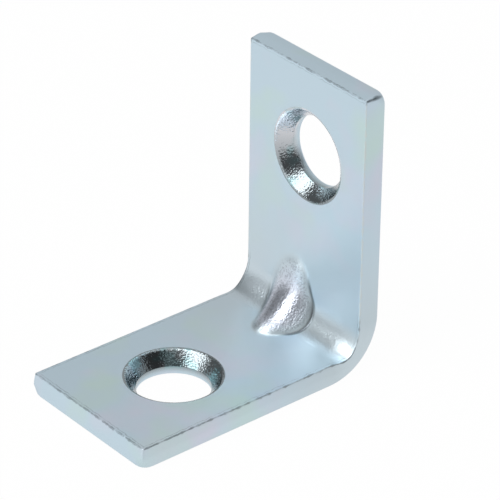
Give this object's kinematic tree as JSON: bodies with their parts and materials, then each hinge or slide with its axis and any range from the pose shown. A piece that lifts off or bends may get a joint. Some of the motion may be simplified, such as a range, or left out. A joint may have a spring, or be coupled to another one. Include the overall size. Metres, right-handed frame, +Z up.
{
  "type": "l-bracket",
  "caption": "Small zinc-plated steel L-bracket: a broad strip folded square, with a countersunk screw hole in each leg and a short stiffening rib pressed through the fold.",
  "frame": {"origin": "centre of the base hole, on the underside of the base", "axes": "+Z up along the base hole to its countersunk side, -Y toward the base's free end, +Y toward the upright and out of its back face, +X across the width"},
  "size_m": [0.0148, 0.0249, 0.0259],
  "materials": {
    "zinc_plate": "bright zinc plating, passivated pale blue"
  },
  "bodies": {
    "root": {"corner_bracket": "zinc_plate"}
  },
  "joints": []
}
